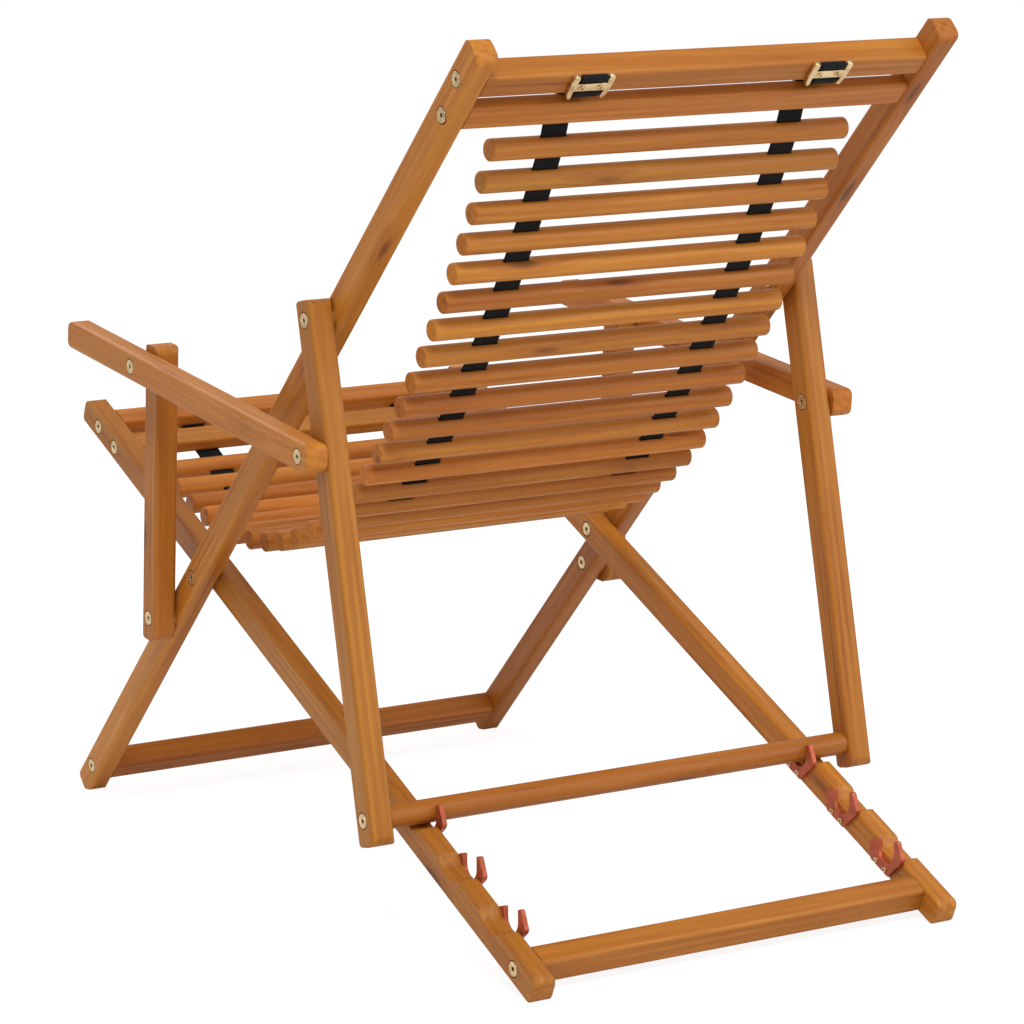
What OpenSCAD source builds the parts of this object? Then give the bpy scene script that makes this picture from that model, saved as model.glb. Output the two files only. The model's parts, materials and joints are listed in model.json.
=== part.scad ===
// Folding deck chair with a sling of round slats.
// Origin: on the floor, midway between the two sides and midway along the chair. +X is the sitter's left,
// +Y the rear, +Z up.

/* [Stance] */
// Angle of the back rails above the floor
back_angle = 44.7; // [42:0.1:48]
// Angle of the seat rails, falling to the rear
seat_angle = 23.6; // [22:0.1:25]

/* [Rails] */
// Depth of every rail, strut, post and armrest, seen from the side
rail_w = 28; // [24:1:32]
// Thickness of the seat and back rails and the armrests
rail_t = 21.5; // [18:0.5:26]
// Thickness of the prop struts and the arm posts
post_t = 24; // [20:0.5:28]
// Radius of the rounded rail ends
end_r = 9; // [5:0.5:11]
// Radius of the eased long edges
edge_r = 4; // [2:0.5:6]
// Running gap between neighbouring layers
layer_gap = 1.2; // [0.8:0.1:2]
// Clear width between the seat rails
inner_w = 411; // [380:1:480]
// Wood cut flat from the underside of each foot
foot_trim = 1; // [0.5:0.5:2]

/* [Back frame] */
// Back rail beyond its foot crossbar
foot_over = 33; // [25:1:45]
// Back rail beyond its head crossbar
head_over = 39; // [30:1:60]
// Main pivot to the prop pivot
prop_pivot_at = 411; // [405:1:418]
// Main pivot to the post pivot, towards the foot
post_pivot_at = 65; // [60:1:70]
// Main pivot to the upper head crossbar
head_bar_at = 735; // [728:1:742]
// Main pivot to the foot crossbar, towards the foot
foot_bar_at = 345; // [342:1:350]

/* [Seat frame] */
// Seat rail beyond its front crossbar
front_over = 35; // [25:1:38]
// Main pivot to the outer front crossbar
front_bar_at = 278; // [272:1:284]
// Seat rail beyond its rear crossbar
rear_over = 35.2; // [28:0.2:42]
// Main pivot to the first notch
notch_at = 416; // [412:1:420]
// Distance from notch to notch
notch_pitch = 77; // [70:1:80]
// Depth of a notch
notch_depth = 8; // [6:0.5:9]
// Width of a notch at the rail's top edge
notch_w = 40; // [36:1:44]
// Number of notches
notch_count = 3; // [1:1:3]

/* [Crossbars] */
// Side of the square crossbars
bar_w = 25; // [22:0.5:28]
// Width of the thin boards beside the head and front crossbars
board_w = 27; // [22:0.5:28]
// Thickness of those boards
board_t = 15; // [12:0.5:18]
// Distance from a crossbar to its board
board_pitch = 40; // [38:0.5:42]

/* [Prop frame] */
// Diameter of the round prop bar
prop_bar_d = 22; // [20:0.5:24]
// Prop pivot to the armrest pivot along a strut
arm_pivot_at = 120; // [114:1:126]
// Strut above its pivot
strut_top_over = 18; // [15:1:24]
// Strut below the prop bar
strut_foot_over = 24; // [15:1:28]

/* [Armrests] */
// Length of an armrest between its pivots
arm_len = 345; // [342:1:348]
// Armrest ahead of its front pivot
arm_front_over = 142; // [100:1:160]
// Armrest behind its rear pivot
arm_rear_over = 18; // [15:1:24]
// Length of a post between its pivots
post_len = 255.5; // [252:0.5:259]
// Post above its upper pivot
post_top_over = 19; // [15:1:24]
// Post below its lower pivot
post_foot_over = 22; // [15:1:24]

/* [Sling] */
// Diameter of a slat
slat_d = 20; // [16:0.5:22]
// Number of slats
slat_count = 27; // [20:1:27]
// Gap between a slat's end and the seat rail
slat_end_gap = 18.5; // [10:0.5:30]
// Width of a strap
strap_w = 26; // [20:1:32]
// Thickness of a strap
strap_t = 1.6; // [1.2:0.1:2]
// Distance from the middle of the chair to the middle of a strap
strap_x = 124; // [100:1:140]
// Distance of the first slat from the head board, along the back rails
sling_at = 44.5; // [40:0.5:49]
// Distance of the first slat behind the middle of the back rails
sling_drop = 10; // [8:0.5:12]
// Angle between the back rails and the sling at its first slat
sling_lean = 18.5; // [16:0.5:21]
// Radius of the sling's upper curve
back_curve_r = 1273; // [1100:1:1500]
// Length of the sling's upper curve
back_curve_len = 367; // [340:1:390]
// Strap between the last slat and the front board
front_gap = 24; // [18:1:30]

/* [Hardware] */
// Diameter of the bolts
bolt_d = 6; // [5:0.5:8]
// Diameter of the bolt heads
bolt_head_d = 13.6; // [9:0.2:15]
// Room round a bolt head in its counterbore
bolt_head_room = 1.1; // [0.2:0.1:2]
// Height of the bolt heads
bolt_head_h = 2.6; // [2:0.2:4]
// Depth of a frame bolt in the crossbar that it holds
bolt_bite = 30; // [20:1:45]
// Thickness of the forked clips
clip_t = 4.5; // [2:0.5:6]
// Diameter of the small screws
screw_d = 3; // [2.5:0.5:3.5]
// Diameter of the small screw heads
screw_head_d = 5.4; // [4:0.2:6]

/* [Hidden] */
SLATS = [for (i = [1 : slat_count]) str("slat_", i < 10 ? "0" : "", i)];
$fn = 48;
fit_gap = 0.1;
socket_share = 0.35;
overcut = 1;
wood = [0.74, 0.48, 0.22];
brass = [0.80, 0.66, 0.36];
copper = [0.72, 0.30, 0.20];
webbing = [0.05, 0.05, 0.06];

// Layers, from the middle outwards
seat_in = inner_w / 2;
seat_out = seat_in + rail_t;
back_in = seat_out + layer_gap;
back_out = back_in + rail_t;
post_in = back_out + layer_gap;
post_out = post_in + post_t;
arm_in = post_out + layer_gap;
arm_out = arm_in + rail_t;

back_foot = foot_bar_at + foot_over;
back_head = head_bar_at + head_over;
seat_front = front_bar_at + front_over;
// The main pivot's height puts the trimmed foot of a back rail on the floor
half_w = rail_w / 2;
pivot_z = (back_foot - end_r) * sin(back_angle) + (half_w - end_r) * cos(back_angle) + end_r - foot_trim;
// The seat rails run down to the floor, and the chair's length is centred on the origin
seat_rear = (pivot_z - (half_w - end_r) * cos(seat_angle) - end_r + foot_trim) / sin(seat_angle) + end_r;
rear_bar_at = seat_rear - rear_over;
pivot_y = -(seat_rear - seat_front) * cos(seat_angle) / 2;
pivot = [pivot_y, pivot_z];

// Points of the side view are [y, z]
function turned(p, a) = [p[0] * cos(a) - p[1] * sin(a), p[0] * sin(a) + p[1] * cos(a)];
function on_back(u, v) = pivot + turned([u, v], back_angle);
function on_seat(u, v) = pivot + turned([u, v], -seat_angle);
function angle_to(p, q) = atan2(q[1] - p[1], q[0] - p[0]);

// Linkage
prop_pivot = on_back(prop_pivot_at, 0);
post_pivot = on_back(-post_pivot_at, 0);
bar_seat_gap = 0.2;
bar_v = half_w - notch_depth + prop_bar_d / 2 + bar_seat_gap;
bar_centre = on_seat(notch_at, bar_v);
strut_angle = angle_to(bar_centre, prop_pivot);
strut_len = norm(prop_pivot - bar_centre);
arm_rear = bar_centre + turned([strut_len - arm_pivot_at, 0], strut_angle);
// The armrest's front pivot is where its own length and the post's length meet
arm_span = norm(arm_rear - post_pivot);
arm_corner = acos((post_len * post_len + arm_span * arm_span - arm_len * arm_len) / (2 * post_len * arm_span));
arm_front = post_pivot + turned([post_len, 0], angle_to(post_pivot, arm_rear) + arm_corner);
arm_angle = angle_to(arm_front, arm_rear);
post_angle = angle_to(post_pivot, arm_front);

// Crossbars, each [distance along its rails, offset square to them]
board_v = -(bar_w - board_t) / 2;
head_board_at = head_bar_at - board_pitch;
front_board_at = front_bar_at - board_pitch;

// Sling: an upper arc below the first slat, then an arc that meets the front board
strap_rest = strap_t / 2 + 0.3;
sling_top = on_back(head_board_at - sling_at, -sling_drop);
sling_top_angle = back_angle + sling_lean;
function bend(p, r, from, to) = p + r * [sin(to) - sin(from), cos(from) - cos(to)];
knee_angle = sling_top_angle - back_curve_len / back_curve_r * 180 / PI;
knee = bend(sling_top, back_curve_r, sling_top_angle, knee_angle);
sling_end = on_seat(-front_board_at + board_w / 2, -board_t / 2 - strap_rest);
knee_to_end = sling_end - knee;
seat_curve_r = (knee_to_end * knee_to_end) / (2 * (knee_to_end * [-sin(knee_angle), cos(knee_angle)]));
seat_curve_len = 2 * asin(norm(knee_to_end) / (2 * seat_curve_r)) * PI / 180 * seat_curve_r;
sling_len = back_curve_len + seat_curve_len;
slat_pitch = (sling_len - front_gap) / (slat_count - 1);
function heading(s) = s < back_curve_len
    ? sling_top_angle - s / back_curve_r * 180 / PI
    : knee_angle - (s - back_curve_len) / seat_curve_r * 180 / PI;
function on_sling(s) = s < back_curve_len
    ? bend(sling_top, back_curve_r, sling_top_angle, heading(s))
    : bend(knee, seat_curve_r, knee_angle, heading(s));
slat_len = inner_w - 2 * slat_end_gap;
strap_slot_w = strap_w + 1.2;
strap_slot_t = strap_t + 1.4;
strap_split = 0.3;
head_split = strap_t / 2;

// The sling's sections end after these slats
upper_end = round(slat_count * 9 / 27);
middle_end = round(slat_count * 15 / 27);
lower_end = round(slat_count * 22 / 27);

// Forked clip, drawn about the middle of the rail below the notch; its slot opens straight up
clip_gap = 0.8;
clip_slot_drop = 4.5;
clip_slot_r = prop_bar_d / 2 + clip_gap;
clip_screws_at = [[-7.5, -4.5], [7.5, -4.5]];
clip_outline = [[-15, -8.5], [13, -8.5], [25, bar_v - 2], [25, bar_v + 2], [12, bar_v + 14],
    [-16, bar_v - 2.5], [-23, bar_v - 9], [-23, bar_v - 12]];

// Buckle
buckle_arm_w = 6;
buckle_w = strap_w + 2 * buckle_arm_w + 3;
buckle_l = bar_w + 2;
buckle_plate_l = 9;
buckle_plate_t = 2;
buckle_h = strap_t + 0.6 + buckle_plate_t;
buckle_screw_x = strap_w * 0.36;
screw_head_h = 1.2;
screw_len = 14;

// Moves a shape drawn in the side view at the origin to a point, an angle and a layer
module place(p, a, x) {
    translate([x, p[0], p[1]]) rotate([90, 0, 90]) rotate([0, 0, a]) children();
}

module both_sides() {
    children();
    mirror([1, 0, 0]) children();
}

// Rectangle with round corners, from [x0, y0] to [x1, y1]
module rounded(x0, y0, x1, y1, r) {
    translate([x0 + r, y0]) square([x1 - x0 - 2 * r, y1 - y0]);
    translate([x0, y0 + r]) square([x1 - x0, y1 - y0 - 2 * r]);
    for (x = [x0 + r, x1 - r], y = [y0 + r, y1 - r]) translate([x, y]) circle(r);
}

// Rail along the local x, from x = a to x = b, with round ends and eased long edges
module rail(a, b, t) {
    intersection() {
        linear_extrude(t) rounded(a, -half_w, b, half_w, end_r);
        translate([a - overcut, 0, 0]) rotate([90, 0, 90])
            linear_extrude(b - a + 2 * overcut) rounded(-half_w, 0, half_w, t, edge_r);
    }
}

// Bolt from an outer face inwards, with a hex socket; nut adds a like head at the inner face
module bolt(len, nut) {
    difference() {
        union() {
            translate([0, 0, -bolt_head_h]) cylinder(d = bolt_head_d, h = bolt_head_h);
            translate([0, 0, -len]) cylinder(d = bolt_d, h = len - bolt_head_h + 0.5);
            if (nut) translate([0, 0, -len]) cylinder(d = bolt_head_d, h = bolt_head_h);
        }
        translate([0, 0, -bolt_head_h * 0.7]) cylinder(d = bolt_head_d * socket_share, h = bolt_head_h, $fn = 6);
        if (nut) translate([0, 0, -len - overcut])
            cylinder(d = bolt_head_d * socket_share, h = overcut + bolt_head_h * 0.6, $fn = 6);
    }
}

// Room for a bolt and its heads
module bolt_hole(len, nut) {
    head_hole = bolt_head_d + 2 * bolt_head_room;
    translate([0, 0, -bolt_head_h - fit_gap]) cylinder(d = head_hole, h = bolt_head_h + overcut);
    translate([0, 0, -len - (nut ? overcut : fit_gap)]) cylinder(d = bolt_d + 2 * fit_gap, h = len + overcut);
    if (nut) translate([0, 0, -len - overcut])
        cylinder(d = head_hole, h = bolt_head_h + fit_gap + overcut);
}

frame_bolt_back = rail_t + bolt_bite;
frame_bolt_prop = post_t + bolt_bite;
main_bolt = back_out - seat_in;
side_bolt = post_out - back_in;
arm_bolt = arm_out - post_in;
arm_front_bolt = rail_t;

module back_rail() {
    difference() {
        place(pivot, back_angle, back_in) rail(-back_foot, back_head, rail_t);
        for (u = [head_bar_at, head_board_at, -foot_bar_at])
            place(on_back(u, u == head_board_at ? board_v : 0), 0, back_out) bolt_hole(frame_bolt_back, false);
        place(pivot, 0, back_out) bolt_hole(main_bolt, true);
        for (p = [prop_pivot, post_pivot]) place(p, 0, post_out) bolt_hole(side_bolt, true);
        under_floor();
    }
}

module seat_rail() {
    difference() {
        place(pivot, -seat_angle, seat_in) rail(-seat_front, seat_rear, rail_t);
        for (i = [0 : notch_count - 1])
            place(on_seat(notch_at + i * notch_pitch, 0), -seat_angle, seat_in - overcut)
                linear_extrude(rail_t + 2 * overcut) notch();
        for (u = [-front_bar_at, -front_board_at, rear_bar_at])
            place(on_seat(u, 0), 0, seat_out) bolt_hole(frame_bolt_back, false);
        place(pivot, 0, back_out) bolt_hole(main_bolt, true);
        for (i = [0 : notch_count - 1], p = clip_screws_at)
            place(on_seat(notch_at + i * notch_pitch + p[0], p[1]), 0, seat_in - overcut)
                cylinder(d = screw_d + 2 * fit_gap, h = screw_len + overcut);
        under_floor();
    }
}

// Everything below the floor, where feet are trimmed
module under_floor() {
    translate([0, -back_foot - seat_rear, -3 * end_r]) cube([arm_out, 2 * (back_foot + seat_rear), 3 * end_r]);
}

// Wide shallow cut with sloping sides
module notch() {
    polygon([[-notch_w / 2 - overcut, half_w + overcut], [-notch_w / 2, half_w],
        [-notch_w / 4, half_w - notch_depth], [notch_w / 4, half_w - notch_depth],
        [notch_w / 2, half_w], [notch_w / 2 + overcut, half_w + overcut]]);
}

// Bar between two rails, depth along them and thickness square to them
module crossbar(p, a, half_len, depth, thick, r) {
    place(p, a, -half_len) linear_extrude(2 * half_len)
        rounded(-depth / 2, -thick / 2, depth / 2, thick / 2, r);
}

module back_crossbar(u, v, depth, thick) {
    color(wood) difference() {
        crossbar(on_back(u, v), back_angle, back_in, depth, thick, edge_r);
        both_sides() place(on_back(u, v), 0, back_out) bolt_hole(frame_bolt_back, false);
    }
}

module head_crossbar() {
    color(wood) difference() {
        back_crossbar(head_bar_at, 0, bar_w, bar_w);
        both_sides() buckle_screw_holes();
    }
}

module seat_crossbar(u, depth, thick) {
    color(wood) difference() {
        crossbar(on_seat(u, 0), -seat_angle, seat_in, depth, thick, edge_r);
        both_sides() place(on_seat(u, 0), 0, seat_out) bolt_hole(frame_bolt_back, false);
    }
}

module prop_strut() {
    difference() {
        place(bar_centre, strut_angle, post_in) rail(-strut_foot_over, strut_len + strut_top_over, post_t);
        place(prop_pivot, 0, post_out) bolt_hole(side_bolt, true);
        place(arm_rear, 0, arm_out) bolt_hole(arm_bolt, true);
        place(bar_centre, 0, post_out) bolt_hole(frame_bolt_prop, false);
    }
}

module prop_bar() {
    color(wood) difference() {
        place(bar_centre, 0, -post_in) cylinder(d = prop_bar_d, h = 2 * post_in);
        both_sides() place(bar_centre, 0, post_out) bolt_hole(frame_bolt_prop, false);
    }
}

module arm_post() {
    difference() {
        place(post_pivot, post_angle, post_in) rail(-post_foot_over, post_len + post_top_over, post_t);
        place(post_pivot, 0, post_out) bolt_hole(side_bolt, true);
    }
}

module armrest() {
    difference() {
        place(arm_front, arm_angle, arm_in) rail(-arm_front_over, arm_len + arm_rear_over, rail_t);
        place(arm_rear, 0, arm_out) bolt_hole(arm_bolt, true);
        place(arm_front, 0, arm_out) bolt_hole(arm_front_bolt, false);
    }
}

module clip_shape() {
    difference() {
        linear_extrude(clip_t) difference() {
            polygon(clip_outline);
            translate([0, bar_v]) rotate(seat_angle) translate([0, -clip_slot_drop]) {
                circle(clip_slot_r);
                translate([-clip_slot_r, 0]) square([2 * clip_slot_r, 3 * clip_slot_r]);
            }
        }
        for (p = clip_screws_at)
            translate([p[0], p[1], -overcut]) cylinder(d = screw_d + 2 * fit_gap, h = clip_t + 2 * overcut);
    }
}

module notch_clips() {
    color(copper) both_sides() for (i = [0 : notch_count - 1])
        place(on_seat(notch_at + i * notch_pitch, 0), -seat_angle, seat_in - clip_t) clip_shape();
}

// Small screw with its head at the local origin, driven along +z
module screw(under_head) {
    difference() {
        union() {
            translate([0, 0, -screw_head_h]) cylinder(d = screw_head_d, h = screw_head_h);
            translate([0, 0, -0.5]) cylinder(d = screw_d, h = under_head + 0.5);
        }
        translate([0, 0, -screw_head_h - overcut]) cylinder(d = screw_head_d * 0.45, h = overcut + 0.7, $fn = 6);
    }
}

module clip_screws() {
    color(brass) both_sides() for (i = [0 : notch_count - 1], p = clip_screws_at)
        place(on_seat(notch_at + i * notch_pitch + p[0], p[1]), 0, seat_in - clip_t) screw(screw_len);
}

module seat_frame_bolts() {
    color(brass) both_sides() for (u = [-front_bar_at, -front_board_at, rear_bar_at])
        place(on_seat(u, 0), 0, seat_out) bolt(frame_bolt_back, false);
}

module back_frame_bolts() {
    color(brass) both_sides() for (u = [head_bar_at, head_board_at, -foot_bar_at])
        place(on_back(u, u == head_board_at ? board_v : 0), 0, back_out) bolt(frame_bolt_back, false);
}

module pivot_bolts() {
    color(brass) both_sides() {
        place(pivot, 0, back_out) bolt(main_bolt, true);
        for (p = [prop_pivot, post_pivot]) place(p, 0, post_out) bolt(side_bolt, true);
    }
}

module washer() {
    difference() {
        cylinder(d = bolt_head_d * 1.6, h = layer_gap);
        translate([0, 0, -overcut]) cylinder(d = bolt_d + 2 * fit_gap, h = layer_gap + 2 * overcut);
    }
}

module pivot_washers() {
    color(brass) both_sides() {
        place(pivot, 0, seat_out) washer();
        for (p = [prop_pivot, post_pivot]) place(p, 0, back_out) washer();
    }
}

module prop_bolts() {
    color(brass) both_sides() {
        place(arm_rear, 0, arm_out) bolt(arm_bolt, true);
        place(bar_centre, 0, post_out) bolt(frame_bolt_prop, false);
    }
}

module armrest_bolt() {
    color(brass) place(arm_front, 0, arm_out) bolt(arm_front_bolt, false);
}

// Puts a shape on the back face of the head crossbar: local x across, y down the back rails, z outwards
module on_head_bar() {
    p = on_back(head_bar_at, -bar_w / 2);
    translate([strap_x, p[0], p[1]]) rotate([back_angle + 180, 0, 0]) children();
}

// The buckle screws pass through the plate and the strap into the crossbar
module buckle_screw_holes() {
    on_head_bar() for (x = [-buckle_screw_x, buckle_screw_x])
        translate([x, 0, -screw_len]) cylinder(d = screw_d + 2 * fit_gap, h = screw_len + buckle_h + overcut);
}

// Two side arms and a plate that bridges the strap
module strap_buckles() {
    color(brass) both_sides() difference() {
        on_head_bar() {
            for (x = [-buckle_w / 2, buckle_w / 2 - buckle_arm_w]) linear_extrude(buckle_h)
                rounded(x, -buckle_l / 2, x + buckle_arm_w, buckle_l / 2, buckle_arm_w / 2 - 0.1);
            translate([-buckle_w / 2 + 2, -buckle_plate_l / 2, buckle_h - buckle_plate_t])
                cube([buckle_w - 4, buckle_plate_l, buckle_plate_t]);
        }
        buckle_screw_holes();
    }
}

module buckle_screws() {
    color(brass) both_sides() on_head_bar() for (x = [-buckle_screw_x, buckle_screw_x])
        translate([x, 0, buckle_h]) rotate([180, 0, 0]) screw(screw_len);
}

module slat(i) {
    s = i * slat_pitch;
    r = slat_d / 2;
    ease = 1.6;
    above = i == 0 ? head_edge : on_sling(s - slat_pitch);
    below = on_sling(i == slat_count - 1 ? sling_len : s + slat_pitch);
    lean = angle_to(below, above);
    color(wood) difference() {
        place(on_sling(s), lean, -slat_len / 2) rotate_extrude() {
            square([r - ease, slat_len]);
            translate([0, ease]) square([r, slat_len - 2 * ease]);
            for (z = [ease, slat_len - ease]) translate([r - ease, z]) circle(ease);
        }
        both_sides() place(on_sling(s), lean, strap_x)
            cube([slat_d + 2 * overcut, strap_slot_t, strap_slot_w], center = true);
    }
}

// Flat strap along a list of points of the side view
module band(points) {
    place([0, 0], 0, strap_x - strap_w / 2) linear_extrude(strap_w) {
        for (i = [0 : len(points) - 2])
            translate(points[i]) rotate(angle_to(points[i], points[i + 1]))
                translate([0, -strap_t / 2]) square([norm(points[i + 1] - points[i]), strap_t]);
        for (i = [1 : len(points) - 2]) translate(points[i]) circle(d = strap_t);
    }
}

// Points of the sling from one distance to another, with a point at each slat between
function run(from, to) = concat([on_sling(from)],
    [for (i = [0 : slat_count - 1]) if (i * slat_pitch > from && i * slat_pitch < to) on_sling(i * slat_pitch)],
    [on_sling(to)]);
function split_after(slats) = (slats - 0.5) * slat_pitch;

head_edge = on_back(head_board_at - board_w / 2 - strap_rest, board_v + board_t / 2 + strap_rest);

module strap_head() {
    back_v = -bar_w / 2 - strap_rest;
    front_v = board_v + board_t / 2 + strap_rest;
    color(webbing) both_sides() difference() {
        band([on_back(head_bar_at + bar_w / 2 - edge_r, back_v),
            on_back(head_bar_at - bar_w / 2 - strap_rest, back_v),
            on_back(head_board_at + board_w / 2 + 2 * strap_rest, front_v), head_edge]);
        buckle_screw_holes();
    }
}

module strap_upper() {
    start = head_edge + head_split * (on_sling(0) - head_edge) / norm(on_sling(0) - head_edge);
    color(webbing) both_sides()
        band(concat([start], run(0, split_after(upper_end) - strap_split)));
}

module strap_middle() {
    color(webbing) both_sides()
        band(run(split_after(upper_end) + strap_split, split_after(middle_end) - strap_split));
}

module strap_lower() {
    color(webbing) both_sides()
        band(run(split_after(middle_end) + strap_split, split_after(lower_end) - strap_split));
}

module strap_front() {
    under_v = -board_t / 2 - strap_rest;
    rear_u = -front_bar_at + bar_w / 2 + strap_rest;
    color(webbing) both_sides()
        band(concat(run(split_after(lower_end) + strap_split, sling_len),
            [on_seat(-front_board_at - board_w / 2 + 1, under_v), on_seat(rear_u, under_v + 4),
            on_seat(rear_u, 0)]));
}

color(wood) seat_rail();  // seat_rail_left
color(wood) mirror([1, 0, 0]) seat_rail();  // seat_rail_right
seat_crossbar(-front_bar_at, bar_w, bar_w);  // front_crossbar
seat_crossbar(-front_board_at, board_w, board_t);  // front_board
seat_crossbar(rear_bar_at, bar_w, bar_w);  // rear_crossbar
notch_clips();
clip_screws();
seat_frame_bolts();
color(wood) back_rail();  // back_rail_left
color(wood) mirror([1, 0, 0]) back_rail();  // back_rail_right
head_crossbar();
back_crossbar(head_board_at, board_v, board_w, board_t);  // head_board
back_crossbar(-foot_bar_at, 0, bar_w, bar_w);  // foot_crossbar
back_frame_bolts();
strap_buckles();
buckle_screws();
pivot_bolts();
pivot_washers();
color(wood) prop_strut();  // prop_strut_left
color(wood) mirror([1, 0, 0]) prop_strut();  // prop_strut_right
prop_bar();
prop_bolts();
color(wood) armrest();  // armrest_left
color(wood) mirror([1, 0, 0]) armrest();  // armrest_right
armrest_bolt();  // armrest_bolt_left
mirror([1, 0, 0]) armrest_bolt();  // armrest_bolt_right
color(wood) arm_post();  // arm_post_left
color(wood) mirror([1, 0, 0]) arm_post();  // arm_post_right
strap_head();
strap_upper();
strap_middle();
strap_lower();
strap_front();
for (i = [0 : slat_count - 1]) slat(i);
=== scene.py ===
"""Dresses the folding deck chair: oiled wood, plated hardware, copper-red clips and woven black straps."""
import json
import math

import bmesh
import bpy
from mathutils import Matrix, Vector


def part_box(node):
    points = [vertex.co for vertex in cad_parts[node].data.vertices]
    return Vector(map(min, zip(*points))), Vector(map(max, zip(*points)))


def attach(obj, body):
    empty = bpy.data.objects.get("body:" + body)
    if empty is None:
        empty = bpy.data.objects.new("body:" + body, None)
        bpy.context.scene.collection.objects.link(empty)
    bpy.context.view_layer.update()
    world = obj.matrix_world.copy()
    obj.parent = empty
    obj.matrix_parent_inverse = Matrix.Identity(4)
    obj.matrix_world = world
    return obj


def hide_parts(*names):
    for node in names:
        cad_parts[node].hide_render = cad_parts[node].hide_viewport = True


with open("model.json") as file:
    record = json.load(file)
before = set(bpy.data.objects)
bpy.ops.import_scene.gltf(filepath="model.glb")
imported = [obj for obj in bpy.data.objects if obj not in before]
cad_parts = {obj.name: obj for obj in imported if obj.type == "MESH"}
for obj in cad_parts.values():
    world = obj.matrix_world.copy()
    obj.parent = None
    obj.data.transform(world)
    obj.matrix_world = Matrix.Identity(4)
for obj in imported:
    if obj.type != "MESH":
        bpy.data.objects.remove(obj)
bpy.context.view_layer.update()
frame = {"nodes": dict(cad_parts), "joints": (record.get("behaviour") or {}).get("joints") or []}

# Angles of the pieces in the side view, in degrees up from the level line towards the rear
BACK_ANGLE = 44.7
SEAT_ANGLE = -23.6
STRUT_ANGLE = 102.3
ARM_ANGLE = -6.2
POST_ANGLE = 85.3
# Sizes in metres
BAR_HALF = 0.0125
BOARD_HALF_T = 0.0075
BOARD_HALF_W = 0.0135
STRAP_W = 0.026
STRAP_T = 0.0018
# From the middle of the strap's thickness to the wood under it
STRAP_GAP = 0.0012
# How far a run of strap reaches over the end of its panel
STRAP_LAP = 0.002
# Last slat of each moving panel of the sling
UPPER_END = 9
MIDDLE_END = 15
LOWER_END = 22
# Camera, measured from the main pivot
CAMERA_AZIMUTH = 149.035
CAMERA_ELEVATION = 10.891
CAMERA_ROLL = -0.382
CAMERA_FROM_PIVOT = Vector((1.85413, 3.2836, 0.7624))
CAMERA_LENS = 134.14
CAMERA_SENSOR = 36.0
CAMERA_SHIFT = (-0.00018, 0.00151)


# Shader nodes

# Sockets of a Mix node that mixes colours
MIX_FIRST = 6
MIX_SECOND = 7
MIX_RESULT = 2
# Values between which most of a noise lies
NOISE_RANGE = (0.3, 0.7)
# Cosines of the turn between the softened and the true normal where an edge starts and where it is full
EDGE_TURN = (0.99, 0.80)


def set_inputs(tree, node, values):
    """Each value is a number, a colour or another node's output."""
    for key, value in values.items():
        if isinstance(value, bpy.types.NodeSocket):
            tree.links.new(value, node.inputs[key])
        else:
            node.inputs[key].default_value = value


def add(tree, kind, values=None, **settings):
    """A new shader node with these settings and inputs."""
    made = tree.nodes.new(kind)
    for key, value in settings.items():
        setattr(made, key, value)
    set_inputs(tree, made, values or {})
    return made


def math_of(tree, operation, a, b=0.0):
    return add(tree, "ShaderNodeMath", {0: a, 1: b}, operation=operation).outputs[0]


def times(tree, a, b):
    return math_of(tree, "MULTIPLY", a, b)


def plus(tree, a, b):
    return math_of(tree, "ADD", a, b)


def between(tree, value, low, high, out_low=0.0, out_high=1.0):
    """value from low to high, mapped smoothly to out_low to out_high."""
    made = add(tree, "ShaderNodeMapRange", {0: value, 1: low, 2: high, 3: out_low, 4: out_high},
               interpolation_type="SMOOTHSTEP")
    return made.outputs[0]


def blend_colours(tree, amount, a, b, mode="MIX"):
    made = add(tree, "ShaderNodeMix", {0: amount, MIX_FIRST: a, MIX_SECOND: b},
               data_type="RGBA", blend_type=mode)
    return made.outputs[MIX_RESULT]


def tinted(colour, factors):
    """A solid colour with each channel times its factor."""
    return (*(part * factor for part, factor in zip(colour, factors)), 1.0)


def scaled(tree, vector, factors):
    return add(tree, "ShaderNodeVectorMath", {0: vector, 1: factors}, operation="MULTIPLY").outputs[0]


def moved(tree, vector, x, y, z):
    shift = add(tree, "ShaderNodeCombineXYZ", {0: x, 1: y, 2: z}).outputs[0]
    return add(tree, "ShaderNodeVectorMath", {0: vector, 1: shift}, operation="ADD").outputs[0]


def noise(tree, place, detail, scale=1.0, roughness=0.5):
    values = {"Vector": place, "Scale": scale, "Detail": detail, "Roughness": roughness}
    return add(tree, "ShaderNodeTexNoise", values).outputs[0]


def new_material(name):
    material = bpy.data.materials.new(name)
    material.use_nodes = True
    tree = material.node_tree
    tree.nodes.clear()
    shader = add(tree, "ShaderNodeBsdfPrincipled")
    add(tree, "ShaderNodeOutputMaterial", {0: shader.outputs[0]})
    return material, tree, shader


def bump(tree, height, distance, strength, normal=None):
    values = {"Height": height, "Distance": distance, "Strength": strength}
    if normal is not None:
        values["Normal"] = normal
    return add(tree, "ShaderNodeBump", values).outputs[0]


def edge_wear_and_highlight(tree, radius):
    """(softened normal, amount of edge from 0 to 1); the amount makes edges lighter, as wear and as painted
    highlight
    """
    soft = add(tree, "ShaderNodeBevel", {"Radius": radius}, samples=6).outputs[0]
    face = add(tree, "ShaderNodeNewGeometry").outputs["Normal"]
    same = add(tree, "ShaderNodeVectorMath", {0: soft, 1: face}, operation="DOT_PRODUCT").outputs["Value"]
    return soft, between(tree, same, *EDGE_TURN)


# Wood

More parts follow.
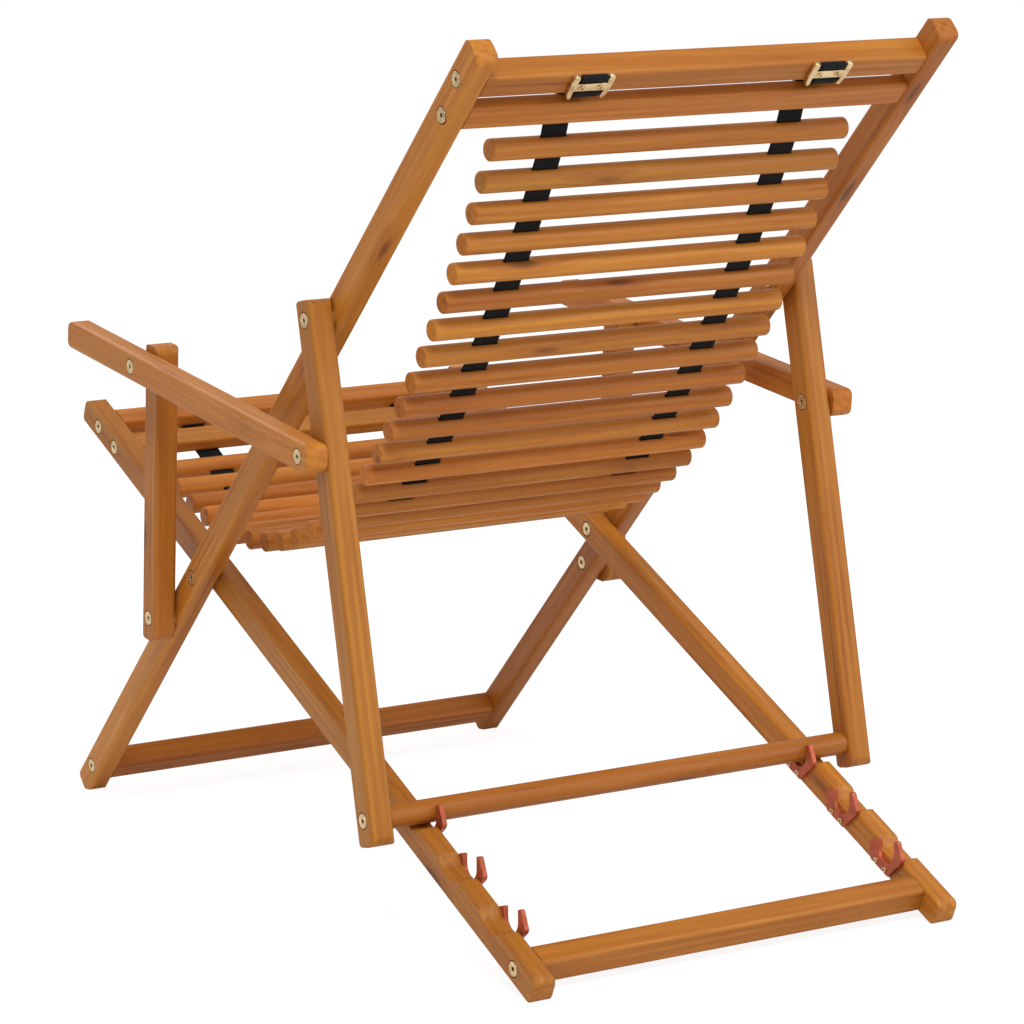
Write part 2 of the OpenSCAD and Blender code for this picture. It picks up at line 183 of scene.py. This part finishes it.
# Scales of the patterns along the grain and across it
WANDER_SCALE = (2.5, 8.0, 8.0)
KNOT_SCALE = (7.0, 26.0, 26.0)
STREAK_SCALE = (5.0, 150.0, 150.0)
RING_SCALE = (0.25, 1.0, 1.0)
FIBRE_SCALE = (40.0, 1400.0, 1400.0)
# A piece's random number times these moves its grain
GRAIN_SHIFT = (7.3, 0.91, 1.37)
# Distances from a knot's middle, in cells, where its core and its halo start and where they are full
KNOT_CORE = (0.16, 0.05)
KNOT_HALO = (0.42, 0.10)
# Random numbers of the cells between which a knot fades in
KNOT_CHOICE = (0.60, 0.66)
# How far the knots and the slow wander bend the streaks
KNOT_BEND = 0.006
WANDER_BEND = 0.008
# Shares of the patterns in the tone, and the tones that are dark, middle and light
STREAK_SHARE = 0.60
RING_SHARE = 0.07
WANDER_SHARE = 0.33
DARK_TONE = 0.32
MIDDLE_TONE = 0.47
LIGHT_TONE = 0.66
# Stains: pores from a fibre value to another, then how strong each stain is and its factors on the dark wood
PORE_RANGE = (0.62, 0.75)
PORE_DEPTH = 0.45
PORE_TINT = (0.55, 0.50, 0.50)
HALO_DEPTH = 0.30
HALO_TINT = (1.0, 0.85, 1.0)
KNOT_DEPTH = 0.70
KNOT_TINT = (0.35, 0.28, 0.30)
# A piece's own brightness, and its own green and blue against its red
OWN_BRIGHTNESS = (0.86, 1.12)
OWN_GREEN_BLUE = (0.90, 1.04)
SECOND_CHANCE = 7.7
# Rubbed edges: lighter along the edges, as wear and as painted highlight
WOOD_EDGE_RADIUS = 0.0022
WOOD_EDGE_DEPTH = 0.30
WOOD_EDGE_TINT = (1.1, 1.1, 1.0)
# Surface
WOOD_ROUGHNESS = (0.50, 0.38)
WOOD_SPECULAR = 0.34
WOOD_RELIEF = 0.00035
FIBRE_RISE = 0.6
STREAK_RISE = 0.8
KNOT_SINK = 0.8


def own_grain(tree, angle, chance):
    """Place of a point along and across the grain, with the grain moved for each piece."""
    place = add(tree, "ShaderNodeTexCoord").outputs["Object"]
    turn = (0.0, 0.0, 0.0) if angle is None else (-math.radians(angle), 0.0, -math.pi / 2)
    along = add(tree, "ShaderNodeMapping", {"Vector": place, "Rotation": turn}).outputs[0]
    return moved(tree, along, *(times(tree, chance, shift) for shift in GRAIN_SHIFT))


def knots(tree, grain):
    """(core, halo) of the knots, which are long along the grain; each from 0 to 1."""
    cells = add(tree, "ShaderNodeTexVoronoi", {"Vector": scaled(tree, grain, KNOT_SCALE), "Scale": 1.0})
    cell_number = add(tree, "ShaderNodeSeparateColor", {0: cells.outputs["Color"]}).outputs[0]
    chosen = between(tree, cell_number, *KNOT_CHOICE)
    distance = cells.outputs["Distance"]
    return (times(tree, between(tree, distance, *KNOT_CORE), chosen),
            times(tree, between(tree, distance, *KNOT_HALO), chosen))


def wood(name, angle, light, middle, dark):
    """Oiled wood whose grain runs across the chair (angle None) or at an angle in the side view."""
    material, tree, shader = new_material(name)
    chance = add(tree, "ShaderNodeObjectInfo").outputs["Random"]
    grain = own_grain(tree, angle, chance)
    wander = noise(tree, scaled(tree, grain, WANDER_SCALE), detail=2.0)
    knot, halo = knots(tree, grain)
    # Streaks bend round the knots
    lines = moved(tree, grain, 0.0, times(tree, halo, KNOT_BEND), times(tree, wander, WANDER_BEND))
    streaks = noise(tree, scaled(tree, lines, STREAK_SCALE), detail=6.0, roughness=0.62)
    rings = add(tree, "ShaderNodeTexWave", {"Vector": scaled(tree, lines, RING_SCALE), "Scale": 42.0,
                                            "Distortion": 1.6, "Detail": 3.0, "Detail Scale": 0.8},
                wave_type="RINGS", rings_direction="X").outputs[1]
    fibres = noise(tree, scaled(tree, lines, FIBRE_SCALE), detail=3.0, roughness=0.7)
    # Colour
    tone = plus(tree, times(tree, streaks, STREAK_SHARE), times(tree, rings, RING_SHARE))
    tone = plus(tree, tone, times(tree, wander, WANDER_SHARE))
    ramp_node = add(tree, "ShaderNodeValToRGB", {0: tone})
    ramp = ramp_node.color_ramp
    ramp.interpolation = "EASE"
    ramp.elements[0].position = DARK_TONE
    ramp.elements[0].color = (*dark, 1.0)
    ramp.elements[1].position = LIGHT_TONE
    ramp.elements[1].color = (*light, 1.0)
    ramp.elements.new(MIDDLE_TONE).color = (*middle, 1.0)
    colour = ramp_node.outputs[0]
    stains = ((between(tree, fibres, *PORE_RANGE, 0.0, PORE_DEPTH), PORE_TINT),
              (times(tree, halo, HALO_DEPTH), HALO_TINT),
              (times(tree, knot, KNOT_DEPTH), KNOT_TINT))
    for amount, factors in stains:
        colour = blend_colours(tree, amount, colour, tinted(dark, factors))
    # Each piece has its own tone, and some are redder
    brightness = between(tree, chance, 0.0, 1.0, *OWN_BRIGHTNESS)
    other_chance = math_of(tree, "FRACT", times(tree, chance, SECOND_CHANCE))
    green_blue = times(tree, brightness, between(tree, other_chance, 0.0, 1.0, *OWN_GREEN_BLUE))
    own_tone = add(tree, "ShaderNodeCombineXYZ", {0: brightness, 1: green_blue, 2: green_blue}).outputs[0]
    colour = blend_colours(tree, 1.0, colour, own_tone, "MULTIPLY")
    soft, edge = edge_wear_and_highlight(tree, WOOD_EDGE_RADIUS)
    # Edges lighter: part wear, part painted highlight
    colour = blend_colours(tree, times(tree, edge, WOOD_EDGE_DEPTH), colour, tinted(light, WOOD_EDGE_TINT))
    height = plus(tree, times(tree, fibres, FIBRE_RISE), times(tree, streaks, STREAK_RISE))
    height = math_of(tree, "SUBTRACT", height, times(tree, knot, KNOT_SINK))
    set_inputs(tree, shader, {"Base Color": colour,
                              "Roughness": between(tree, streaks, *NOISE_RANGE, *WOOD_ROUGHNESS),
                              "Specular IOR Level": WOOD_SPECULAR,
                              "Normal": bump(tree, height, WOOD_RELIEF, strength=0.5, normal=soft)})
    return material


# Metal

SCRATCH_SCALE = (2600.0, 300.0, 500.0)
SCRATCH_ROUGHNESS = (-0.06, 0.10)
SCRATCH_RELIEF = 0.00004
DIRT_SCALE = 120.0
DIRT_RANGE = (0.35, 0.70)
DIRT_TINT = (0.72, 0.66, 0.60)
METAL_EDGE_RADIUS = 0.0006
METAL_EDGE_DEPTH = 0.6
# Painted shade in the hollows: how far the open sky is looked for, the share of it that is left, and the
# colour of the shade
HOLLOW_SHADE_DISTANCE = 0.003
HOLLOW_SHADE_RANGE = (0.75, 0.35)
PAINTED_HOLLOW_SHADE = (0.012, 0.009, 0.006, 1.0)


def metal(name, colour, worn_and_lit_edge, roughness, metallic=1.0):
    """Plated or painted metal with fine scratches, a little dirt, edges lighter from wear and painted
    highlight, and painted shade in the hollows.
    """
    material, tree, shader = new_material(name)
    place = add(tree, "ShaderNodeTexCoord").outputs["Object"]
    patches = noise(tree, place, detail=5.0, scale=DIRT_SCALE)
    scratches = noise(tree, scaled(tree, place, SCRATCH_SCALE), detail=3.0)
    soft, edge = edge_wear_and_highlight(tree, METAL_EDGE_RADIUS)
    open_sky = add(tree, "ShaderNodeAmbientOcclusion", {"Distance": HOLLOW_SHADE_DISTANCE},
                   samples=8, only_local=True).outputs["AO"]
    dirt = between(tree, patches, *DIRT_RANGE)
    base = blend_colours(tree, dirt, (*colour, 1.0), tinted(colour, DIRT_TINT))
    # Edges lighter towards the worn colour: part wear, part painted highlight
    base = blend_colours(tree, times(tree, edge, METAL_EDGE_DEPTH), base, (*worn_and_lit_edge, 1.0))
    # Painted shade: the colour goes dark in hollows that see little open sky
    base = blend_colours(tree, between(tree, open_sky, *HOLLOW_SHADE_RANGE), base, PAINTED_HOLLOW_SHADE)
    rough = plus(tree, between(tree, scratches, *NOISE_RANGE, *SCRATCH_ROUGHNESS), roughness)
    set_inputs(tree, shader, {"Base Color": base, "Metallic": metallic, "Roughness": rough,
                              "Normal": bump(tree, scratches, SCRATCH_RELIEF, strength=0.35, normal=soft)})
    return material


# Webbing

RIB_PITCH = 0.0018
TWILL_RUN_PITCH = 0.0022
TWILL_ACROSS_PITCH = 0.0040
FUZZ_SCALE = 1500.0
WEAVE_SHARE = 0.5
FUZZ_SHARE = 0.5
# Heights at which the thread is at its darkest and at its lightest: painted shade in the weave's hollows,
# painted highlight on its raised threads
THREAD_RANGE = (-0.2, 0.8)
THREAD_PAINTED_SHADE = (0.0012, 0.0012, 0.0015, 1.0)
THREAD_PAINTED_HIGHLIGHT = (0.0075, 0.0075, 0.0085, 1.0)
WEBBING_ROUGHNESS = 0.80
WEBBING_SPECULAR = 0.25
WEBBING_RELIEF = 0.0004


def webbing(name):
    """Black twill webbing: UV u runs along the strap in metres and v across it."""
    material, tree, shader = new_material(name)
    uv = add(tree, "ShaderNodeUVMap").outputs[0]
    parts = add(tree, "ShaderNodeSeparateXYZ", {0: uv})
    run, across = parts.outputs[0], parts.outputs[1]
    rib = math_of(tree, "SINE", times(tree, across, 2 * math.pi / RIB_PITCH))
    slant = plus(tree, times(tree, run, 2 * math.pi / TWILL_RUN_PITCH),
                 times(tree, math_of(tree, "ABSOLUTE", across), 2 * math.pi / TWILL_ACROSS_PITCH))
    weave = times(tree, math_of(tree, "SINE", slant), rib)
    fuzz = noise(tree, uv, detail=3.0, scale=FUZZ_SCALE)
    height = plus(tree, times(tree, weave, WEAVE_SHARE), times(tree, fuzz, FUZZ_SHARE))
    # Painted shade and highlight: the thread is darker where the weave and fuzz are low and lighter where
    # they are high
    colour = blend_colours(tree, between(tree, height, *THREAD_RANGE), THREAD_PAINTED_SHADE, THREAD_PAINTED_HIGHLIGHT)
    set_inputs(tree, shader, {"Base Color": colour, "Roughness": WEBBING_ROUGHNESS,
                              "Specular IOR Level": WEBBING_SPECULAR,
                              "Normal": bump(tree, height, WEBBING_RELIEF, strength=0.6)})
    return material


# Materials of the pieces; the three colours of a wood are its light, middle and dark

FRAME_WOOD = ((0.535, 0.206, 0.024), (0.425, 0.143, 0.014), (0.275, 0.072, 0.007))
SLAT_WOOD = ((0.565, 0.222, 0.028), (0.465, 0.160, 0.017), (0.320, 0.090, 0.009))
wood_across = wood("wood_across", None, *FRAME_WOOD)
wood_slat = wood("wood_slat", None, *SLAT_WOOD)
wood_back = wood("wood_back", BACK_ANGLE, *FRAME_WOOD)
wood_seat = wood("wood_seat", SEAT_ANGLE, *FRAME_WOOD)
wood_strut = wood("wood_strut", STRUT_ANGLE, *FRAME_WOOD)
wood_arm = wood("wood_arm", ARM_ANGLE, *FRAME_WOOD)
wood_post = wood("wood_post", POST_ANGLE, *FRAME_WOOD)
brass = metal("plated_brass", (0.86, 0.66, 0.38), (0.97, 0.86, 0.64), 0.28)
clip_red = metal("copper_red", (0.52, 0.110, 0.048), (0.75, 0.30, 0.18), 0.42, 0.45)
strap_black = webbing("strap_black")

BRASS_WORDS = ("bolt", "screws", "washers", "buckles")
MATERIAL_OF_START = {
    "slat_": wood_slat,
    "notch_clips": clip_red,
    "back_rail": wood_back,
    "seat_rail": wood_seat,
    "prop_strut": wood_strut,
    "armrest": wood_arm,
    "arm_post": wood_post,
    "strap_": strap_black,
}


def material_of(node):
    """Brass by a word anywhere in the node's name, the others by how it starts, and the rest wood across."""
    if any(word in node for word in BRASS_WORDS):
        return brass
    return next((made for start, made in MATERIAL_OF_START.items() if node.startswith(start)), wood_across)


for node_name, node_object in frame["nodes"].items():
    node_object.data.materials.clear()
    node_object.data.materials.append(material_of(node_name))


# Places in the side view, found from the solids' boxes

def centre(node):
    low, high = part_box(node)
    return Vector(((low[0] + high[0]) / 2, (low[1] + high[1]) / 2, (low[2] + high[2]) / 2))


def side_axes(angle):
    """Unit vectors along and square to an angle of the side view."""
    a = math.radians(angle)
    return Vector((0.0, math.cos(a), math.sin(a))), Vector((0.0, -math.sin(a), math.cos(a)))


back_u, back_v = side_axes(BACK_ANGLE)
seat_u, seat_v = side_axes(SEAT_ANGLE)
head_bar = centre("head_crossbar")
head_board = centre("head_board")
front_bar = centre("front_crossbar")
front_board = centre("front_board")
slat_names = sorted(name for name in frame["nodes"] if name.startswith("slat_"))
slat_centres = [centre(name) for name in slat_names]
strap_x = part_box("strap_upper")[1][0] - STRAP_W / 2
# Middle of the head crossbar's back face
back_face = head_bar - back_v * BAR_HALF


# Meshes

def object_from(name, maker):
    """An object in the scene with the mesh that was built."""
    mesh = bpy.data.meshes.new(name)
    maker.to_mesh(mesh)
    maker.free()
    made = bpy.data.objects.new(name, mesh)
    bpy.context.scene.collection.objects.link(made)
    return made


def finish_mesh(name, maker, material, body, nodes):
    """Gives a built mesh its material and its body, and hides the nodes that it stands in for."""
    made = object_from(name, maker)
    made.data.materials.append(material)
    for face in made.data.polygons:
        face.use_smooth = True
    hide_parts(*nodes)
    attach(made, body)


# Straps

CURVE_STEPS = 6
SECTION_STEPS = 12
# Section of the strap: shares of its half width, and of its half thickness there
FLAT_WIDTH = 0.80
FLAT_THICKNESS = 0.86
SELVEDGE_WIDTH = 0.97
SELVEDGE_THICKNESS = 1.12
RIM_THICKNESS = 0.45
# How far the strap stands off the head crossbar where it turns round it
STRAP_TURN = 0.003
# Where it bends over the head board's upper edge: this far under the face, then this far in from the edge
EDGE_DROP = 0.0035
EDGE_REACH = 0.004
# How far its bends lie from the front board's edges
EDGE_ROUND = 0.001
# How far its last bend lies under the middle of the front crossbar's rear face
LAST_BEND_DROP = 0.0045
# Its end on the head crossbar's back face, under the buckle: (place up the face, height off it)
TAB = ((0.0128, 0.0010), (0.0128, 0.0036), (0.0106, 0.0048), (0.0078, 0.0040), (0.0054, 0.0014),
       (0.0, 0.0012), (-0.0052, 0.0014), (-0.0076, 0.0034), (-0.0108, 0.0030), (-0.0140, 0.0006))


def smooth_path(points):
    """Catmull-Rom curve through the points."""
    out = []
    count = len(points)
    for i in range(count - 1):
        p0 = points[max(i - 1, 0)]
        p1 = points[i]
        p2 = points[i + 1]
        p3 = points[min(i + 2, count - 1)]
        for k in range(CURVE_STEPS):
            t = k / CURVE_STEPS
            out.append(0.5 * (2 * p1 + (p2 - p0) * t + (2 * p0 - 5 * p1 + 4 * p2 - p3) * t * t
                              + (3 * p1 - p0 - 3 * p2 + p3) * t ** 3))
    out.append(points[-1].copy())
    return out


def strap_section():
    """Outline of the strap across its run: a flat band with selvedges a little thicker than its middle."""
    top = []
    for k in range(SECTION_STEPS + 1):
        place = -1.0 + 2.0 * k / SECTION_STEPS
        if abs(place) < FLAT_WIDTH:
            thickness = FLAT_THICKNESS
        elif abs(place) < SELVEDGE_WIDTH:
            thickness = SELVEDGE_THICKNESS
        else:
            thickness = RIM_THICKNESS
        top.append((place * STRAP_W / 2, thickness * STRAP_T / 2))
    return top + [(x, -h) for x, h in reversed(top)]


def straps(name, path, body, node):
    """One run of both straps along a path of the side view."""
    maker = bmesh.new()
    uv_layer = maker.loops.layers.uv.new("strap")
    section = strap_section()
    count = len(section)
    for side in (-1.0, 1.0):
        rings = []
        distances = []
        travel = 0.0
        for i, point in enumerate(path):
            ahead = path[min(i + 1, len(path) - 1)] - path[max(i - 1, 0)]
            ahead.normalize()
            square = Vector((0.0, -ahead.z, ahead.y))
            if i:
                travel += (point - path[i - 1]).length
            distances.append(travel)
            ring = [point + Vector((side * strap_x + x, 0.0, 0.0)) + square * h for x, h in section]
            rings.append([maker.verts.new(corner) for corner in ring])
        for i in range(len(rings) - 1):
            for k in range(count):
                n = (k + 1) % count
                places = ((i, k), (i + 1, k), (i + 1, n), (i, n))
                face = maker.faces.new([rings[row][column] for row, column in places])
                for loop, (row, column) in zip(face.loops, places):
                    loop[uv_layer].uv = (distances[row], section[column][0])
        maker.faces.new(rings[0])
        maker.faces.new(list(reversed(rings[-1])))
    bmesh.ops.recalc_face_normals(maker, faces=maker.faces)
    finish_mesh(name, maker, strap_black, body, (node,))


def beyond(a, b, extra):
    """The point past b by extra, seen from a."""
    return b + (b - a).normalized() * extra


def middle_after(i):
    """Midway between slat number i and the next, counted from 1."""
    return (slat_centres[i - 1] + slat_centres[i]) / 2


board_front = head_board + back_v * (BOARD_HALF_T + STRAP_GAP)
head_edge = board_front - back_u * (BOARD_HALF_W + STRAP_GAP)
head_path = [back_face + back_u * run - back_v * lift for run, lift in TAB]
head_path.append(head_bar - back_u * (BAR_HALF + STRAP_TURN))
head_path.append(board_front + back_u * (BOARD_HALF_W + STRAP_GAP) - back_v * EDGE_DROP)
head_path.append(board_front + back_u * (BOARD_HALF_W - EDGE_REACH))
head_path.append(head_edge)
straps("strap_head_run", smooth_path(head_path), "back_frame", "strap_head")

upper_path = [head_edge] + slat_centres[:UPPER_END] + [middle_after(UPPER_END)]
middle_path = [middle_after(UPPER_END)] + slat_centres[UPPER_END:MIDDLE_END] + [middle_after(MIDDLE_END)]
lower_path = [middle_after(MIDDLE_END)] + slat_centres[MIDDLE_END:LOWER_END] + [middle_after(LOWER_END)]
front_under = front_board - seat_v * (BOARD_HALF_T + STRAP_GAP)
bar_behind = front_bar + seat_u * (BAR_HALF + STRAP_GAP)
front_path = [middle_after(LOWER_END)] + slat_centres[LOWER_END:]
front_path.append(front_under + seat_u * (BOARD_HALF_W + EDGE_ROUND))
front_path.append(front_under)
front_path.append(front_under - seat_u * (BOARD_HALF_W - EDGE_ROUND))
front_path.append(bar_behind - seat_v * LAST_BEND_DROP)
front_path.append(bar_behind)
for name, body, path in (("upper", "sling_upper", upper_path), ("middle", "sling_middle", middle_path),
                         ("lower", "sling_lower", lower_path), ("front", "seat_frame", front_path)):
    curve = smooth_path(path)
    if name != "front":
        curve.append(beyond(curve[-2], curve[-1], STRAP_LAP))
    curve.insert(0, beyond(curve[1], curve[0], STRAP_LAP))
    straps("strap_" + name + "_run", curve, body, "strap_" + name)


# Buckles on the back face of the head crossbar

# Heights over the face, and how far the edges are eased
PLATE_LOW = 0.0023
PLATE_HIGH = 0.0042
PLATE_EASE = 0.0004
ARM_LOW = 0.0001
ARM_HIGH = 0.0047
ARM_EASE = 0.0009
# Edges that turn by more than this, in radians, are eased
SHARP_TURN = 0.7
PLATE = ((-0.0172, -0.0045), (0.0172, -0.0045), (0.0172, 0.0045), (-0.0172, 0.0045))
# Bowed side arm: (place across, place up the face, width)
SIDE_ARM = ((0.0160, -0.0140, 0.0026), (0.0167, -0.0118, 0.0042), (0.0176, -0.0070, 0.0050),
            (0.0180, -0.0010, 0.0054), (0.0180, 0.0050, 0.0058), (0.0176, 0.0098, 0.0064),
            (0.0172, 0.0124, 0.0056), (0.0170, 0.0139, 0.0030))


def slab(maker, outline, low, high, ease, to_row):
    """A plate with that outline between two heights over the bar's face, with eased edges."""
    bottom = [maker.verts.new(to_row @ Vector((x, y, low))) for x, y in outline]
    top = [maker.verts.new(to_row @ Vector((x, y, high))) for x, y in outline]
    faces = [maker.faces.new(top), maker.faces.new(list(reversed(bottom)))]
    count = len(outline)
    for k in range(count):
        n = (k + 1) % count
        faces.append(maker.faces.new((bottom[k], bottom[n], top[n], top[k])))
    bmesh.ops.recalc_face_normals(maker, faces=faces)
    rims = [edge for edge in maker.edges if all(face in faces for face in edge.link_faces)
            and edge.calc_face_angle(0.0) > SHARP_TURN]
    bmesh.ops.bevel(maker, geom=rims, offset=ease, segments=3, profile=0.5, affect="EDGES")


def strip(points):
    """Outline of a curved strip round a centre line; each point is (x, y, width)."""
    left, right = [], []
    count = len(points)
    for i, (x, y, width) in enumerate(points):
        ax, ay, _ = points[max(i - 1, 0)]
        bx, by, _ = points[min(i + 1, count - 1)]
        length = math.hypot(bx - ax, by - ay)
        nx, ny = -(by - ay) / length, (bx - ax) / length
        left.append((x + nx * width / 2, y + ny * width / 2))
        right.append((x - nx * width / 2, y - ny * width / 2))
    return left + right[::-1]


buckle_maker = bmesh.new()
face_axes = Matrix((Vector((1.0, 0.0, 0.0)), back_u, -back_v)).transposed().to_4x4()
for side in (-1.0, 1.0):
    to_row = Matrix.Translation(Vector((side * strap_x, 0.0, 0.0)) + back_face) @ face_axes
    slab(buckle_maker, PLATE, PLATE_LOW, PLATE_HIGH, PLATE_EASE, to_row)
    for hand in (-1.0, 1.0):
        outline = [(hand * x, y) for x, y in strip(SIDE_ARM)]
        if hand < 0:
            outline.reverse()
        slab(buckle_maker, outline, ARM_LOW, ARM_HIGH, ARM_EASE, to_row)
finish_mesh("buckles", buckle_maker, brass, "back_frame", ("strap_buckles",))


# Stage

FLOOR_HALF = 6
FLOOR_LEVEL = -0.0005
FLOOR_GLOW = 0.86
FLOOR_MATT = (0.24, 0.24, 0.24, 1.0)
FLOOR_PLAIN = (0.80, 0.79, 0.77, 1.0)
WHITE = (1.0, 1.0, 1.0, 1.0)
SKY_COLOUR = (1.0, 0.99, 0.97, 1.0)
SKY_STRENGTH = 0.56
# All lights look here
LIT_PLACE = (0.0, 0.0, 0.4)


def area_light(name, place, size, watts):
    data = bpy.data.lights.new(name, "AREA")
    data.shape = "DISK"
    data.size = size
    data.energy = watts
    made = bpy.data.objects.new(name, data)
    made.location = place
    made.rotation_euler = (Vector(LIT_PLACE) - made.location).to_track_quat("-Z", "Y").to_euler()
    bpy.context.scene.collection.objects.link(made)


def pale_floor():
    """A floor that the camera sees as nearly white, and the other rays as plain matt."""
    maker = bmesh.new()
    signs = ((-1, -1), (1, -1), (1, 1), (-1, 1))
    maker.faces.new([maker.verts.new((x * FLOOR_HALF, y * FLOOR_HALF, FLOOR_LEVEL)) for x, y in signs])
    made = object_from("floor", maker)
    material = bpy.data.materials.new("pale_floor")
    material.use_nodes = True
    tree = material.node_tree
    tree.nodes.clear()
    glow = add(tree, "ShaderNodeEmission", {"Color": WHITE, "Strength": FLOOR_GLOW})
    matt = add(tree, "ShaderNodeBsdfDiffuse", {"Color": FLOOR_MATT})
    both = add(tree, "ShaderNodeAddShader", {0: glow.outputs[0], 1: matt.outputs[0]})
    plain = add(tree, "ShaderNodeBsdfDiffuse", {"Color": FLOOR_PLAIN})
    seen = add(tree, "ShaderNodeLightPath").outputs["Is Camera Ray"]
    mixed = add(tree, "ShaderNodeMixShader", {0: seen, 1: plain.outputs[0], 2: both.outputs[0]})
    add(tree, "ShaderNodeOutputMaterial", {0: mixed.outputs[0]})
    made.data.materials.append(material)


pale_floor()
scene = bpy.context.scene
scene.view_settings.view_transform = "Standard"
world = bpy.data.worlds.new("studio")
scene.world = world
world.use_nodes = True
sky = world.node_tree
sky.nodes.clear()
lighting = add(sky, "ShaderNodeBackground", {"Color": SKY_COLOUR, "Strength": SKY_STRENGTH})
white = add(sky, "ShaderNodeBackground", {"Color": WHITE, "Strength": 1.0})
camera_ray = add(sky, "ShaderNodeLightPath").outputs["Is Camera Ray"]
chosen_sky = add(sky, "ShaderNodeMixShader", {0: camera_ray, 1: lighting.outputs[0], 2: white.outputs[0]})
add(sky, "ShaderNodeOutputWorld", {0: chosen_sky.outputs[0]})
area_light("key", (1.3, 2.8, 4.2), 2.2, 128.0)
area_light("fill", (-2.8, 3.2, 2.2), 2.5, 46.0)
area_light("front", (0.5, -3.2, 2.4), 2.5, 32.0)


# Camera, solved from the photograph

seat_fold = next(joint for joint in frame["joints"] if joint["name"] == "seat_fold")
main_pivot = Vector(seat_fold["pos_m"])
azimuth = math.radians(CAMERA_AZIMUTH)
elevation = math.radians(CAMERA_ELEVATION)
roll = math.radians(CAMERA_ROLL)
backward = Vector((math.sin(azimuth) * math.cos(elevation),
                   -math.cos(azimuth) * math.cos(elevation),
                   math.sin(elevation)))
level_right = Vector((math.cos(azimuth), math.sin(azimuth), 0.0))
level_up = backward.cross(level_right)
right = math.cos(roll) * level_right + math.sin(roll) * level_up
up = -math.sin(roll) * level_right + math.cos(roll) * level_up
camera_data = bpy.data.cameras.new("camera")
camera_data.lens = CAMERA_LENS
camera_data.sensor_width = CAMERA_SENSOR
camera_data.shift_x, camera_data.shift_y = CAMERA_SHIFT
camera = bpy.data.objects.new("camera", camera_data)
scene.collection.objects.link(camera)
camera_turn = Matrix((right, up, backward)).transposed().to_4x4()
camera.matrix_world = Matrix.Translation(main_pivot + CAMERA_FROM_PIVOT) @ camera_turn
scene.camera = camera
